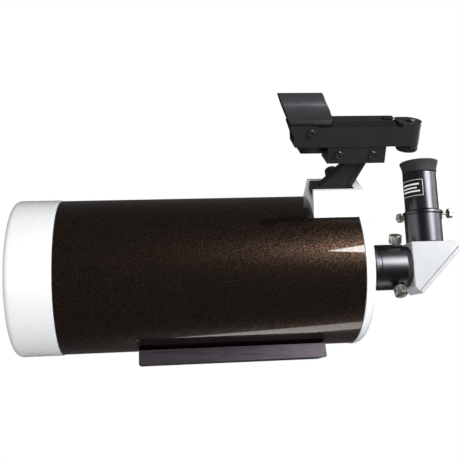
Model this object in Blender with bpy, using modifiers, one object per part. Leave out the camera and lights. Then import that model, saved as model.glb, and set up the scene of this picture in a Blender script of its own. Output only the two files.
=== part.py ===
"""A 127 mm Maksutov-Cassegrain telescope tube with its finder, star diagonal and eyepiece.

Every size and place below is in millimetres, and MM turns it into Blender's metres as it reaches a mesh.
World frame: +X runs along the optical axis to the rear, +Z is up, and the origin is the middle of the
underside of the dovetail bar, on which the tube stands. The builders use these local frames:
  tube_axis     on the optical axis, local Z along world +X, for everything turned about that axis
  diagonal_turn on the optical axis, turned DIAGONAL_TILT about it, local Z along the eyepiece
  finder_mount  on the optical axis, turned FINDER_ANGLE about it, local Z out through the finder shoe
"""

from math import atan2, cos, degrees, pi, radians, sin, sqrt

import bmesh
import bpy
from mathutils import Matrix, Vector

MM = 0.001
GAP = 0.3                    # air between touching pieces

# Driving sizes
AXIS_HEIGHT = 85.0           # optical axis above the underside of the dovetail bar
TUBE_RADIUS = 72.0
TUBE_WALL = 2.0
TUBE_FRONT = -155.3
TUBE_REAR = 115.7
CELL_RADIUS = 72.7           # front ring and rear cell, a little proud of the tube
SPIGOT = 10.0                # how far a cell reaches into the tube
RING_FRONT = -196.4
CELL_REAR = 126.6
APERTURE_RADIUS = 63.5
BARREL_RADIUS = 15.875       # the 1.25 inch push fit of diagonal and eyepiece
BARREL_BORE = 13.5
SOCKET_RADIUS = 16.2         # what takes a 1.25 inch barrel
DIAGONAL_TILT = 4.5          # degrees that the diagonal is turned about the optical axis
FINDER_ANGLE = 39.5          # degrees from the top of the tube to the finder shoe

ROUND = 56                   # segments round the tube
MEDIUM = 24
SMALL = 12

EAST = (0.0, pi / 2, 0.0)             # local Z along +X
SIDE_ON = (pi / 2, 0.0, 0.0)          # an outline in XZ, its thickness along Y
END_ON = (pi / 2, 0.0, pi / 2)        # an outline in YZ, its thickness along X


# ---------------------------------------------------------------- scene and materials

for old in list(bpy.data.objects):
    bpy.data.objects.remove(old)

PARTS = bpy.data.collections.new("telescope")
CUTTERS = bpy.data.collections.new("cutters")
bpy.context.scene.collection.children.link(PARTS)
bpy.context.scene.collection.children.link(CUTTERS)


def material(name, colour, roughness, metallic=0.0):
    made = bpy.data.materials.new(name)
    made.use_nodes = True
    shader = made.node_tree.nodes["Principled BSDF"]
    shader.inputs["Base Color"].default_value = (*colour, 1.0)
    shader.inputs["Roughness"].default_value = roughness
    shader.inputs["Metallic"].default_value = metallic
    return made


FLAKE_PAINT = material("flake_paint", (0.035, 0.026, 0.020), 0.25, 0.3)
WHITE_PAINT = material("white_paint", (0.85, 0.86, 0.88), 0.35)
BLACK_ANODISED = material("black_anodised", (0.03, 0.03, 0.035), 0.35, 0.8)
BLACK_PLASTIC = material("black_plastic", (0.05, 0.05, 0.055), 0.5)
GREY_PAINT = material("grey_paint", (0.75, 0.78, 0.81), 0.4)
STEEL = material("steel", (0.55, 0.53, 0.50), 0.25, 1.0)
BRASS = material("brass", (0.70, 0.52, 0.25), 0.3, 1.0)
RUBBER = material("rubber", (0.03, 0.03, 0.03), 0.8)
GLASS = material("glass", (0.75, 0.85, 0.85), 0.05)
MIRROR = material("mirror", (0.90, 0.90, 0.92), 0.03, 1.0)
CORK = material("cork", (0.30, 0.20, 0.12), 0.9)


# ---------------------------------------------------------------- builders

def place(thing, parent, location=(0, 0, 0), rotation=(0, 0, 0)):
    thing.parent = parent
    thing.location = Vector(location) * MM
    thing.rotation_euler = rotation
    return thing


def frame(name, parent=None, location=(0, 0, 0), rotation=(0, 0, 0)):
    empty = bpy.data.objects.new(name, None)
    PARTS.objects.link(empty)
    return place(empty, parent, location, rotation)


def solid(name, shape, finish):
    """A new object from a bmesh, smooth except over sharp edges."""
    mesh = bpy.data.meshes.new(name)
    shape.to_mesh(mesh)
    shape.free()
    mesh.shade_smooth()
    mesh.set_sharp_from_angle(angle=radians(35))
    mesh.materials.append(finish)
    made = bpy.data.objects.new(name, mesh)
    PARTS.objects.link(made)
    return made


def turned(name, profile, finish, steps=MEDIUM):
    """A Screw round local Z of (height, radius) points: a closed loop, or open where its ends lie on the axis."""
    points = [(r * MM, h * MM) for h, r in profile]
    turn = sum(a[0] * b[1] - b[0] * a[1] for a, b in zip(points, points[1:] + points[:1]))
    if turn > 0:
        points.reverse()
    shape = bmesh.new()
    corners = [shape.verts.new((r, 0, h)) for r, h in points]
    for first, second in zip(corners, corners[1:]):
        shape.edges.new((first, second))
    if points[0][0] > 0:
        shape.edges.new((corners[-1], corners[0]))
    made = solid(name, shape, finish)
    screw = made.modifiers.new("turn", "SCREW")
    screw.steps = steps
    screw.render_steps = steps
    screw.use_merge_vertices = True
    screw.merge_threshold = 0.00001
    return made


def rod(name, radius, low, high, finish, steps=SMALL):
    """A cylinder on local Z from low to high."""
    shape = bmesh.new()
    bmesh.ops.create_cone(shape, cap_ends=True, segments=steps, radius1=radius * MM, radius2=radius * MM,
                          depth=(high - low) * MM, matrix=Matrix.Translation((0, 0, (low + high) / 2 * MM)))
    return solid(name, shape, finish)


def box(name, low, high, finish, bevel=0.0):
    """A block between two corners, with its edges rounded off by bevel."""
    low, high = Vector(low) * MM, Vector(high) * MM
    shape = bmesh.new()
    size = Matrix.Diagonal((*(high - low), 1.0))
    bmesh.ops.create_cube(shape, size=1.0, matrix=Matrix.Translation((low + high) / 2) @ size)
    made = solid(name, shape, finish)
    if bevel:
        edge = made.modifiers.new("edge", "BEVEL")
        edge.width = bevel * MM
        edge.segments = 1
    return made


def plate(name, outline, low, high, finish):
    """A flat outline in local XY, thick from low to high along local Z. It is drawn in millimetres."""
    curve = bpy.data.curves.new(name, "CURVE")
    curve.dimensions = "2D"
    curve.fill_mode = "BOTH"
    curve.extrude = (high - low) / 2
    spline = curve.splines.new("POLY")
    spline.points.add(len(outline) - 1)
    spline.use_cyclic_u = True
    for point, (x, y) in zip(spline.points, outline):
        point.co = (x, y, 0, 1)
    drawn = bpy.data.objects.new(name + "_outline", curve)
    PARTS.objects.link(drawn)
    bpy.context.view_layer.update()
    flat = bpy.data.meshes.new_from_object(drawn.evaluated_get(bpy.context.evaluated_depsgraph_get()))
    bpy.data.objects.remove(drawn)
    shape = bmesh.new()
    shape.from_mesh(flat)
    bmesh.ops.remove_doubles(shape, verts=shape.verts, dist=0.001)
    bmesh.ops.dissolve_limit(shape, angle_limit=0.001, verts=shape.verts, edges=shape.edges)
    shape.transform(Matrix.Scale(MM, 4) @ Matrix.Translation((0, 0, (low + high) / 2)))
    bmesh.ops.recalc_face_normals(shape, faces=shape.faces)
    return solid(name, shape, finish)


def combine(piece, other, operation, solver="EXACT"):
    """piece is cut by other, or joined to it; other is then a hidden guide."""
    boolean = piece.modifiers.new(operation.lower(), "BOOLEAN")
    boolean.operation = operation
    boolean.solver = solver
    boolean.object = other
    PARTS.objects.unlink(other)
    CUTTERS.objects.link(other)
    other.hide_render = True
    other.display_type = "WIRE"
    return piece


def cut(piece, *others, solver="EXACT"):
    for other in others:
        combine(piece, other, "DIFFERENCE", solver)
    return piece


def join(piece, *others):
    for other in others:
        combine(piece, other, "UNION")
    return piece


def arc(centre, radius, start, end, count):
    """Points on a circle from start to end degrees."""
    turns = [radians(start + (end - start) * i / (count - 1)) for i in range(count)]
    return [(centre[0] + radius * cos(t), centre[1] + radius * sin(t)) for t in turns]


def sphere_arc(pole, curvature, reach, count=5):
    """(height, radius) points of a lens surface from the axis out to reach; its rim lies below the pole."""
    radii = [reach * i / (count - 1) for i in range(count)]
    return [(pole - (curvature - sqrt(curvature ** 2 - r ** 2)), r) for r in radii]


def screw(name, parent, tip, head_low, head_high, shank, head, finish, edge=0.8, steps=SMALL):
    """A headed screw on the local Z of parent, its tip lower than its head."""
    made = turned(name, [
        (tip, 0), (tip, shank), (head_low, shank), (head_low, head - edge), (head_low + edge, head),
        (head_high - edge, head), (head_high, head - edge), (head_high, 0)], finish, steps)
    return place(made, parent)


def bulge(pole, curvature, reach, count=5):
    """sphere_arc the other way up: the rim lies above the pole."""
    return [(2 * pole - h, r) for h, r in sphere_arc(pole, curvature, reach, count)]


# ---------------------------------------------------------------- frames

tube_axis = frame("tube_axis", None, (0, 0, AXIS_HEIGHT), EAST)
finder_mount = frame("finder_mount", None, (0, 0, AXIS_HEIGHT), (radians(FINDER_ANGLE), 0, 0))
diagonal_turn = frame("diagonal_turn", None, (0, 0, AXIS_HEIGHT), (radians(DIAGONAL_TILT), 0, 0))


# ---------------------------------------------------------------- dovetail bar under the tube

BAR_HALF_LENGTH = 85.8
BAR_HALF_WIDTH = 22.0
BAR_HALF_TOP = 18.6
BAR_SCREW_X = 50.0

seat = TUBE_RADIUS + GAP
bar_height = AXIS_HEIGHT - seat
bar_section = [(-BAR_HALF_WIDTH, 0), (BAR_HALF_WIDTH, 0), (BAR_HALF_TOP, bar_height), (-BAR_HALF_TOP, bar_height)]
bar = place(plate("dovetail_bar", bar_section, -BAR_HALF_LENGTH, BAR_HALF_LENGTH, BLACK_ANODISED),
            None, rotation=END_ON)
bar_tube_holes = []
bar_strip_holes = []
for side, name in ((-1, "front"), (1, "rear")):
    at = frame("dovetail_screw_axis", None, (side * BAR_SCREW_X, 0, 0), (pi, 0, 0))
    screw("dovetail_screw_" + name, at, -18.7, -8, -3, 2.8, 5, STEEL)
    cut(bar, place(rod("bar_hole", 3.1, -30, 1, STEEL), at), place(rod("bar_sink", 5.4, -8.3, 1, STEEL), at),
        solver="MANIFOLD")
    bar_tube_holes.append(place(rod("tube_hole", 3.1, -26, -12, STEEL), at))
    bar_strip_holes.append(place(rod("strip_hole", 3.1, -28, -12, STEEL), at))
for side, radius in ((-1, 3.2), (1, 4.8)):
    cut(bar, place(rod("tripod_thread", radius, -1, 9, STEEL), None, (side * 20.0, 0, 0)), solver="MANIFOLD")


backing_reach = 69.4
strip = arc((0, AXIS_HEIGHT), backing_reach, -84, -96, 5) + arc((0, AXIS_HEIGHT), 66.9, -96, -84, 5)
backing = place(plate("dovetail_backing_strip", strip, -60, 60, STEEL), None, rotation=END_ON)
cut(backing, *bar_strip_holes, solver="MANIFOLD")


# ---------------------------------------------------------------- tube, front ring and corrector

main_tube = place(turned("main_tube", [
    (TUBE_FRONT, TUBE_RADIUS - TUBE_WALL), (TUBE_FRONT, TUBE_RADIUS),
    (TUBE_REAR, TUBE_RADIUS), (TUBE_REAR, TUBE_RADIUS - TUBE_WALL)], FLAKE_PAINT, ROUND), tube_axis)
cut(main_tube, *bar_tube_holes)

RING_FILLET = 5.5
LENS_BORE = 66.0
LENS_FRONT_POLE = -174.0
LENS_REAR_POLE = -162.0
LENS_RIM = APERTURE_RADIUS + 0.2

spigot_radius = TUBE_RADIUS - TUBE_WALL - GAP
ring = [(TUBE_FRONT - GAP, spigot_radius), (TUBE_FRONT - GAP, CELL_RADIUS)]
ring += arc((RING_FRONT + RING_FILLET, CELL_RADIUS - RING_FILLET), RING_FILLET, 90, 180, 5)
ring += [(RING_FRONT, LENS_BORE + 0.6), (RING_FRONT + 0.6, LENS_BORE), (-171.85, LENS_BORE),
         (-171.85, LENS_RIM), (-168, LENS_RIM), (-166, LENS_BORE), (TUBE_FRONT + SPIGOT, LENS_BORE),
         (TUBE_FRONT + SPIGOT, spigot_radius)]
place(turned("front_ring", ring, WHITE_PAINT, ROUND), tube_axis)

front_surface = sphere_arc(LENS_FRONT_POLE, 180, LENS_RIM)
rear_surface = sphere_arc(LENS_REAR_POLE, 186, LENS_RIM)
lens = front_surface + [(front_surface[-1][0], LENS_BORE - 0.4), (rear_surface[-1][0], LENS_BORE - 0.4)]
place(turned("corrector_lens", lens + rear_surface[::-1], GLASS, ROUND), tube_axis)
place(turned("corrector_gasket", [
    (-172.95, LENS_RIM), (-172.95, LENS_BORE - GAP), (-172.15, LENS_BORE - GAP), (-172.15, LENS_RIM)],
    CORK, ROUND), tube_axis)
place(turned("corrector_retainer", [
    (-191, LENS_RIM), (-191, LENS_BORE - GAP), (-185.95, LENS_BORE - GAP), (-185.95, LENS_RIM)],
    BLACK_ANODISED, ROUND), tube_axis)
place(turned("secondary_baffle", [
    (-162.6, 19.5), (-162.6, 21), (-140, 22.5), (-140, 21)], BLACK_ANODISED), tube_axis)


# ---------------------------------------------------------------- rear cell, baffle and focuser

CELL_FILLET = 10.0
WALL_FRONT = 118.6
PORT_RADIUS = 22.0
HUB_REAR = 134.2
FOCUS_OFFSET = 45.0
COLLIMATION_RADIUS = 50.0

cell = [(TUBE_REAR - SPIGOT, LENS_BORE), (TUBE_REAR - SPIGOT, spigot_radius),
        (TUBE_REAR + GAP, spigot_radius), (TUBE_REAR + GAP, CELL_RADIUS)]
cell += arc((CELL_REAR - CELL_FILLET, CELL_RADIUS - CELL_FILLET), CELL_FILLET, 90, 0, 6)
cell += [(CELL_REAR, 31), (HUB_REAR - 1, 29), (HUB_REAR, 28), (HUB_REAR, PORT_RADIUS + GAP),
         (WALL_FRONT, PORT_RADIUS + GAP), (WALL_FRONT, 64), (WALL_FRONT - 3, LENS_BORE)]
rear_cell = place(turned("rear_cell", cell, WHITE_PAINT, ROUND), tube_axis)

place(turned("primary_baffle", [
    (-30, 16), (-30, 17.5), (113.7, 17.5), (113.7, 27), (118.2, 27), (118.2, 16)], BLACK_ANODISED), tube_axis)

focus_turn = frame("focus_turn", None, (0, FOCUS_OFFSET, AXIS_HEIGHT), EAST)
cut(rear_cell, place(rod("bush_hole", 8, 110, 130, STEEL), focus_turn))
place(turned("focus_bush", [(113, 3.3), (113, 10), (118.3, 10), (118.3, 7.5), (126.4, 7.5), (126.4, 3.3)],
             BRASS, SMALL), focus_turn)
place(rod("focus_screw", 3, 94.5, 137.7, STEEL), focus_turn)
place(turned("focus_knob", [
    (138, 0), (138, 3.3), (127.2, 3.3), (127.2, 12), (128, 13), (143.5, 13), (145, 11.5), (145, 0)],
    RUBBER), focus_turn)

mirror_focus = frame("mirror_focus", tube_axis)
carrier = place(turned("mirror_carrier", [
    (70, 17.9), (70, 21), (90.3, 21), (90.3, 53), (94, 53), (94, 21), (104, 21), (104, 17.9)],
    STEEL, ROUND), mirror_focus)
join(carrier, place(rod("nut_boss", 7, 93, 104, STEEL), focus_turn))
cut(carrier, place(rod("nut_thread", 3.3, 89, 110, STEEL), focus_turn))
dish = [(76 - r ** 2 / 960, r) for r in (21.3, 36.2, 51.1, 66)]
place(turned("primary_mirror", dish + [(90, 66), (90, 21.3)], MIRROR, ROUND), mirror_focus)
place(turned("mirror_retainer", [(71.5, 21.3), (71.5, 26), (75, 26), (75, 21.3)], BLACK_ANODISED),
      mirror_focus)

for number, turn in enumerate((0, 120, 240)):
    y = -COLLIMATION_RADIUS * sin(radians(turn))
    z = COLLIMATION_RADIUS * cos(radians(turn))
    at = frame("collimation_axis", None, (0, y, AXIS_HEIGHT + z), EAST)
    cut(rear_cell, place(rod("collimation_hole", 1.9, 110, 130, STEEL, 12), at))
    screw("collimation_screw_%d" % (number + 1), at, 114, CELL_REAR + GAP, 129.6, 1.6, 3.5, STEEL, 0.5, 12)


# ---------------------------------------------------------------- rear port and visual back

BACK_RADIUS = 22.5
BACK_REAR = 173.0
BACK_SCREW_X = 165.2

place(turned("rear_port_adapter", [
    (119, 17.5), (119, PORT_RADIUS), (HUB_REAR + GAP, PORT_RADIUS), (HUB_REAR + GAP, 25.5), (139.7, 25.5),
    (139.7, 17.5)], BLACK_ANODISED), tube_axis)
visual_back = place(turned("visual_back", [
    (140, 17.5), (140, 23.7), (140.5, 24.2), (142.2, 24.2), (142.7, 23.7), (143, 22.3), (146.5, 22.3),
    (147, BACK_RADIUS), (BACK_REAR - 0.8, BACK_RADIUS), (BACK_REAR, BACK_RADIUS - 0.8),
    (BACK_REAR, SOCKET_RADIUS), (148, SOCKET_RADIUS), (148, 17.5)], BLACK_ANODISED), tube_axis)
for name, turn in (("upper", 26.5), ("lower", 154.5)):
    at = frame("visual_back_screw_" + name + "_turn", None, (BACK_SCREW_X, 0, AXIS_HEIGHT), (radians(turn), 0, 0))
    screw("visual_back_screw_" + name, at, BARREL_RADIUS + 0.4, 23.3, 33, 2, 6.2, STEEL)
    cut(visual_back, place(rod("back_screw_hole", 2.3, 12, 26, STEEL), at))


# ---------------------------------------------------------------- star diagonal

MIRROR_X = 199.6             # where the optical axis meets the diagonal's mirror
DIAGONAL_HALF_WIDTH = 19.0
HOLDER_SCREW_N = 52.9

diagonal_body = place(plate("diagonal_body", [
    (178.4, 22.8), (221.8, 22.8), (226.4, 18.2), (182.7, -25.5), (178.4, -21.2)],
    -DIAGONAL_HALF_WIDTH, DIAGONAL_HALF_WIDTH, GREY_PAINT), diagonal_turn, rotation=SIDE_ON)
along_axis = frame("diagonal_axis", diagonal_turn, (0, 0, 0), EAST)
eyepiece_axis = frame("eyepiece_axis", diagonal_turn, (MIRROR_X, 0, 0))
mirror_seat = frame("mirror_seat", diagonal_turn, (MIRROR_X, 0, 0), (0, radians(135), 0))
cut(diagonal_body,
    place(rod("light_in", 15, 170, MIRROR_X, STEEL, MEDIUM), along_axis),
    place(rod("light_out", 15, 0, 30, STEEL, MEDIUM), eyepiece_axis),
    place(box("mirror_cavity", (-20.4, -16.4, -0.3), (20.4, 16.4, 9), STEEL), mirror_seat))
place(turned("diagonal_nosepiece", [
    (150, BARREL_BORE), (150, BARREL_RADIUS), (BACK_REAR + GAP, BARREL_RADIUS), (BACK_REAR + GAP, 20),
    (178.1, 20), (178.1, 14.7), (184, 14.7), (184, BARREL_BORE)], STEEL), along_axis)
place(box("diagonal_mirror", (-20, -16, 0), (20, 16, 4), MIRROR), mirror_seat)
place(box("diagonal_pad", (-20, -16, 4.3), (20, 16, 5.6), CORK), mirror_seat)
cover = place(box("diagonal_cover", (-31, -18, 6.4), (29, 18, 10.4), GREY_PAINT), mirror_seat)
for x, name in ((-26, "upper"), (24, "lower")):
    at = frame("cover_screw_axis", mirror_seat, (x, 0, 0))
    cut(cover, place(rod("cover_hole", 1.5, 1, 12, STEEL, 12), at))
    cut(diagonal_body, place(rod("cover_thread", 1.5, 1, 12, STEEL, 12), at))
    screw("diagonal_cover_screw_" + name, at, 1.4, 10.7, 12, 1.2, 2.4, STEEL, 0.4, 12)

holder = place(turned("eyepiece_holder", [
    (19, BARREL_BORE), (19, 14.7), (23.1, 14.7), (23.1, 18.55), (51.2, 18.55), (51.9, 19.6), (54.4, 19.6),
    (55, 19), (55, SOCKET_RADIUS), (28, SOCKET_RADIUS), (28, BARREL_BORE)], BLACK_ANODISED), eyepiece_axis)
for name, turn, low, high, radius in (("rear", 0, 24.3, 30.3, 4.9), ("front", 125, 23.2, 30, 4.7)):
    at = frame("holder_screw_" + name + "_turn", eyepiece_axis, (0, 0, HOLDER_SCREW_N), (0, pi / 2, radians(turn)))
    screw("holder_screw_" + name, at, BARREL_RADIUS + 0.4, low, high, 1.2, radius, STEEL)
    cut(holder, place(rod("holder_screw_hole", 1.5, 12, 24, STEEL), at))


# ---------------------------------------------------------------- eyepiece

eyepiece_lift = frame("eyepiece_lift", eyepiece_axis)
place(turned("eyepiece_nosepiece", [
    (30, 14.2), (30, BARREL_RADIUS), (58.6, BARREL_RADIUS), (58.6, 13.3), (61.6, 13.3), (61.6, 12.2),
    (57, 12.2), (55, 14.2)], STEEL), eyepiece_lift)
place(turned("eyepiece_barrel", [
    (55.3, SOCKET_RADIUS), (55.3, 16.5), (55.8, 17), (93.4, 17), (94, 16.4), (94, 11), (90.3, 11),
    (90.3, 13.6), (58.9, 13.6), (58.9, SOCKET_RADIUS)], BLACK_ANODISED), eyepiece_lift)
place(turned("field_lens", [(62, 0), (62, 13.3)] + [(65.1, 13.3)] + sphere_arc(67.6, 30, 12, 3)[::-1], GLASS),
      eyepiece_lift)
place(turned("lens_spacer", [(65.5, 12.2), (65.5, 13.3), (86.6, 13.3), (86.6, 12.2)], BLACK_ANODISED),
      eyepiece_lift)
eye_lens = bulge(84.6, 30, 12, 3) + [(87.1, 13.3), (89.96, 13.3)] + sphere_arc(92, 28, 10.5, 3)[::-1]
place(turned("eye_lens", eye_lens, GLASS), eyepiece_lift)
place(turned("eyecup", [
    (94.3, 12), (94.3, 16.9), (97.6, 16.9), (99.5, 17.2), (102.5, 18.1), (105.2, 19.1), (106.2, 18.8),
    (106, 17.9), (102.5, 15.6), (98.5, 12.6)], RUBBER), eyepiece_lift)


# ---------------------------------------------------------------- finder shoe on the rear cell

SHOE_FRONT = 74.3
SHOE_REAR = 121.0
SHOE_TOP = 89.7
SHOE_HALF_TOP = 15.0
SHOE_HALF_FOOT = 25.2
CHANNEL_FLOOR = 80.0
CHANNEL_REAR = 113.0

foot_angle = degrees(atan2(SHOE_HALF_FOOT, sqrt(seat ** 2 - SHOE_HALF_FOOT ** 2)))
shoe_section = [(-SHOE_HALF_TOP, SHOE_TOP), (SHOE_HALF_TOP, SHOE_TOP)]
shoe_section += arc((0, 0), seat, 90 - foot_angle, 90 + foot_angle, 11)
shoe = place(plate("finder_shoe", shoe_section, SHOE_FRONT, SHOE_REAR, WHITE_PAINT), finder_mount,
             rotation=END_ON)
channel = [(-13.5, CHANNEL_FLOOR), (13.5, CHANNEL_FLOOR), (11, SHOE_TOP), (11, 95), (-11, 95), (-11, SHOE_TOP)]
cut(shoe, place(plate("channel", channel, SHOE_FRONT - 5, CHANNEL_REAR, STEEL), finder_mount, rotation=END_ON),
    place(rod("cell_seat", CELL_RADIUS + GAP, TUBE_REAR, 140, STEEL, ROUND), tube_axis))
for x, name in ((84, "front"), (100, "rear")):
    at = frame("shoe_screw_axis", finder_mount, (x, 0, 0))
    screw("shoe_screw_" + name, at, 68.5, 75.6, 78.6, 1.7, 3.5, STEEL, 0.5, 12)
    cut(shoe, place(rod("shoe_sink", 3.9, 75.3, 82, STEEL), at), place(rod("shoe_hole", 2, 70, 77, STEEL), at))
    cut(main_tube, place(rod("shoe_tube_hole", 2, 66, 75, STEEL), at))
clamp_axis = frame("shoe_thumbscrew_turn", finder_mount, (101.5, 17.6, 84.1), (radians(-65), 0, 0))
cut(shoe, place(rod("clamp_hole", 2.3, -8, 3, STEEL), clamp_axis))
screw("shoe_thumbscrew", clamp_axis, -4.4, 7, 17, 2, 6.3, BLACK_PLASTIC)


# ---------------------------------------------------------------- finder bracket

PAN_X = 70.6                 # the finder pans about this upright axis
CLAMP_TOP = 129.4
CLAMP_HALF_WIDTH = 11.0

finder_slide = frame("finder_slide", finder_mount)
foot = [(-13.2, 80.3), (13.2, 80.3), (10.7, 89.4), (-10.7, 89.4)]
bracket = place(plate("finder_bracket", foot, 76, CHANNEL_REAR - GAP, BLACK_PLASTIC), finder_slide,
                rotation=END_ON)
strut = plate("strut", [(79.5, 86), (112, 86), (112, 89), (125.5, 117), (109.5, 117)], -5.5, 5.5, BLACK_PLASTIC)
join(bracket, place(strut, finder_slide, rotation=SIDE_ON),
     place(box("clamp", (85.4, -CLAMP_HALF_WIDTH, 114), (138.3, CLAMP_HALF_WIDTH, CLAMP_TOP), BLACK_PLASTIC),
           finder_slide),
     place(box("tongue", (62, -5, 121.6), (90, 5, 123.9), BLACK_PLASTIC), finder_slide))
for x, n, name in ((95.1, 122.3, "front"), (126.1, 122.0, "rear")):
    at = frame("clamp_screw_axis", finder_slide, (x, 0, n), (pi / 2, 0, 0))
    screw("finder_clamp_screw_" + name, at, 4, CLAMP_HALF_WIDTH + GAP, 12.6, 1.3, 3.4, STEEL, 0.4, 12)
    cut(bracket, place(rod("clamp_screw_hole", 1.6, 3.7, 14, STEEL, 12), at))


# ---------------------------------------------------------------- red-dot finder

FRAME_HALF_WIDTH = 12.0
BODY_HALF_WIDTH = 9.0
FRAME_BOTTOM = CLAMP_TOP + GAP
FRAME_REAR = 159.0           # centre of the half-round rear block
FRAME_TOP = 149.8
FRAME_FLOOR = 133.5
BODY_BOTTOM = 137.0
BODY_TOP = 152.0
HOOD_AXIS = 160.0
HOOD_RADIUS = 15.0
TILT_X = 68.7
TILT_N = 142.4
ADJUSTER_X = 161.0

finder_pan = frame("finder_pan", finder_slide, (PAN_X, 0, 0))
PAN = (-PAN_X, 0, 0)
hood_axis = frame("hood_axis", finder_pan, (-PAN_X, 0, HOOD_AXIS), EAST)
adjuster = frame("finder_altitude_turn", finder_pan, (ADJUSTER_X - PAN_X, 0, 0))
pan_knob = frame("finder_azimuth_turn", finder_pan)

cage = place(plate("finder_frame", [
    (49.9, 148.6), (54.2, 138), (55.2, FRAME_BOTTOM), (FRAME_REAR, FRAME_BOTTOM), (FRAME_REAR, FRAME_TOP),
    (150.5, FRAME_TOP), (150.5, 147.2), (76, 147.2), (72, 149.6), (52, 149.6)],
    -FRAME_HALF_WIDTH, FRAME_HALF_WIDTH, BLACK_PLASTIC), finder_pan, PAN, SIDE_ON)
join(cage, place(rod("rear_block", FRAME_HALF_WIDTH - 0.02, FRAME_BOTTOM - 0.2, FRAME_TOP, BLACK_PLASTIC, MEDIUM),
                 finder_pan, (FRAME_REAR - PAN_X, 0, 0)))
cut(cage,
    place(box("cage_channel", (40, -9.4, FRAME_FLOOR), (149, 9.4, 160), STEEL), finder_pan, PAN),
    place(box("tail_slot", (145, -4.4, 134), (166, 4.4, 144.5), STEEL), finder_pan, PAN),
    place(rod("hood_relief", HOOD_RADIUS + 0.9, 30, 92, STEEL, MEDIUM), hood_axis),
    place(rod("adjuster_hole", 2.8, 120, 155, STEEL), adjuster),
    place(rod("pan_hole", 3.1, 125, 136, STEEL), pan_knob))
cut(bracket, place(rod("tongue_hole", 2.7, 118, 126, STEEL), pan_knob))
place(turned("finder_azimuth_knob", [
    (121.2, 0), (121.2, 2.4), (124.2, 2.4), (124.2, 10), (125.2, 11.2), (128.2, 11.2), (129.2, 10.2),
    (129.2, 2.8), (133, 2.8), (133, 0)],
    BLACK_PLASTIC), pan_knob)
place(turned("finder_altitude_knob", [
    (122.4, 0), (122.4, 8.7), (123.4, 9.7), (127.2, 9.7), (127.8, 9.1), (127.8, 2.5), (147, 2.5), (147, 0)],
    BLACK_PLASTIC), adjuster)
place(turned("finder_altitude_cap", [
    (147.3, 0), (147.3, 2.5), (150.1, 2.5), (150.1, 4), (151.2, 4), (151.6, 3.6), (151.6, 0)], STEEL), adjuster)

tilt_pin = frame("finder_pivot_axis", finder_pan, (TILT_X - PAN_X, 0, TILT_N), (pi / 2, 0, 0))
screw("finder_pivot_screw", tilt_pin, -11.8, FRAME_HALF_WIDTH + GAP, 13.6, 1.5, 3.4, STEEL, 0.5)
cut(cage, place(rod("pin_hole", 1.8, -14, 14, STEEL), tilt_pin))

finder_tilt = frame("finder_tilt", finder_pan, (TILT_X - PAN_X, 0, TILT_N))
TILT = (-TILT_X, 0, -TILT_N)
body = place(plate("finder_body", [
    (59, BODY_BOTTOM), (147, BODY_BOTTOM), (147, BODY_TOP - 4), (143.5, BODY_TOP), (60, BODY_TOP)],
    -BODY_HALF_WIDTH, BODY_HALF_WIDTH, BLACK_PLASTIC), finder_tilt, TILT, SIDE_ON)
join(body, place(box("tail", (144, -4, 137.8), (165, 4, 140.8), BLACK_PLASTIC), finder_tilt, TILT))
cell_pocket = frame("cell_pocket", finder_tilt, (112 - TILT_X, 0, -TILT_N))
cut(body,
    place(rod("hood_bed", HOOD_RADIUS + 0.3, 30, 88, STEEL, MEDIUM), hood_axis),
    place(rod("body_pin_hole", 1.8, -14, 14, STEEL), tilt_pin),
    place(rod("tail_hole", 3.2, 132, 146, STEEL), adjuster),
    place(rod("battery_pocket", 8.3, 130, 143.7, STEEL, MEDIUM), cell_pocket),
    place(rod("led_hole", 1.8, 80, 94, STEEL), hood_axis, (10.5, 0, 0)),
    place(box("switch_slot", (134.5, -1.8, 149), (145.5, 1.8, 156), STEEL), finder_tilt, TILT))
place(rod("finder_battery", 8, 140, 143.4, STEEL, MEDIUM), cell_pocket)
tilt_east = frame("led_axis", finder_tilt, (-TILT_X, 0, HOOD_AXIS - 10.5 - TILT_N), EAST)
place(turned("finder_led", [(88.6, 0), (88.6, 1.1), (89.2, 1.5), (93.6, 1.5), (93.6, 0)], GLASS, 12), tilt_east)

hood_tilt = frame("hood_tilt_axis", finder_tilt, (-TILT_X, 0, HOOD_AXIS - TILT_N), EAST)
hood = place(turned("finder_hood", [
    (30, HOOD_RADIUS - 1.8), (30, HOOD_RADIUS), (95, HOOD_RADIUS), (95, HOOD_RADIUS - 1.8)], BLACK_PLASTIC),
    hood_tilt)
combine(hood, place(plate("hood_outline", [
    (39.2, 176), (53, 144), (87, 144), (86.2, 156), (83, 164), (79.6, 171), (78.6, 176)],
    -17, 17, STEEL), finder_tilt, TILT, SIDE_ON), "INTERSECT")
window_axis = frame("window_axis", finder_tilt, (61 - TILT_X, 0, HOOD_AXIS - TILT_N), (0, radians(78), 0))
place(rod("finder_window", 12.9, -1, 1, GLASS, MEDIUM), window_axis)

switch_slide = frame("finder_switch_slide", finder_tilt)
switch = place(box("finder_switch", (135.5, -4, BODY_TOP + GAP), (144.5, 4, 153.5), STEEL), switch_slide, TILT)
join(switch, place(box("switch_stem", (139.5, -1.4, 149.4), (141.5, 1.4, 153), STEEL), switch_slide, TILT))
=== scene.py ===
"""The looks of the telescope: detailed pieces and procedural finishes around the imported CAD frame.

Lengths are millimetres until a piece is made, when MM turns them into metres. A turned piece is a profile of
(height, radius) points round its local Z. The local frames are those of the CAD part:
  TUBE      on the optical axis, local Z along +X
  DIAGONAL  on the optical axis, turned 4.5 degrees about it, local Z along the eyepiece
  FINDER    on the optical axis, turned 39.5 degrees about it, local Z out through the finder shoe
"""

from math import asin, cos, degrees, pi, radians, sin, sqrt

import bmesh
import bpy
from mathutils import Matrix, Vector


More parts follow.
